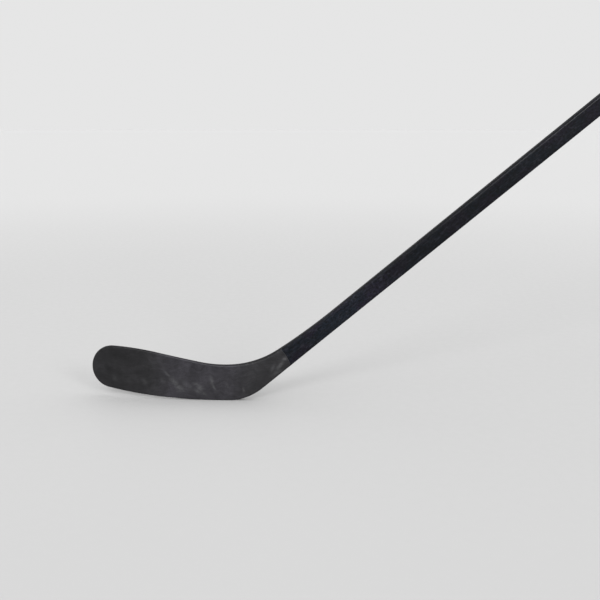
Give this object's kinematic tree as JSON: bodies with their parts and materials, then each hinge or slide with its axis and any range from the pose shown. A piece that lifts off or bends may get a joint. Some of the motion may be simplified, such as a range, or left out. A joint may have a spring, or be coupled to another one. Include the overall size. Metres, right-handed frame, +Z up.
{
  "type": "ice hockey stick",
  "caption": "Left-handed ice hockey stick: satin black rounded-rectangle composite shaft with a slanted joint to a curved matt blade, and a plug in the butt end.",
  "frame": {"origin": "the point of the blade's sole that touches the floor", "axes": "+X from the toe towards the butt end, +Y towards the side that the blade curves to, +Z up; the shaft rises at 39.9 degrees in the XZ plane"},
  "size_m": [1.4355, 0.0518, 0.9857],
  "materials": {
    "satin_shaft": "satin clear coat over carbon composite",
    "matt_carbon": "matt forged-carbon laminate",
    "matt_carbon_edge": "matt laminate, worn at the sole",
    "seam_filler": "sanded epoxy filler",
    "cap_plastic": "moulded, fine texture",
    "adhesive": "hot-melt adhesive",
    "foam": "rigid closed-cell foam",
    "bare_carbon": "bare carbon laminate",
    "toe_filler": "dense syntactic foam"
  },
  "bodies": {
    "root": {"shaft_tube": "satin_shaft", "butt_cap": "cap_plastic", "cap_glue": "adhesive", "joint_seam": "seam_filler", "hosel_tenon": "matt_carbon", "hosel_core": "foam", "tenon_glue": "adhesive", "blade_backhand_face": "matt_carbon", "blade_forehand_face": "matt_carbon", "blade_edge_band": "matt_carbon_edge", "blade_upper_core": "foam", "blade_lower_core": "foam", "blade_rib": "bare_carbon", "toe_insert": "toe_filler"}
  },
  "joints": []
}
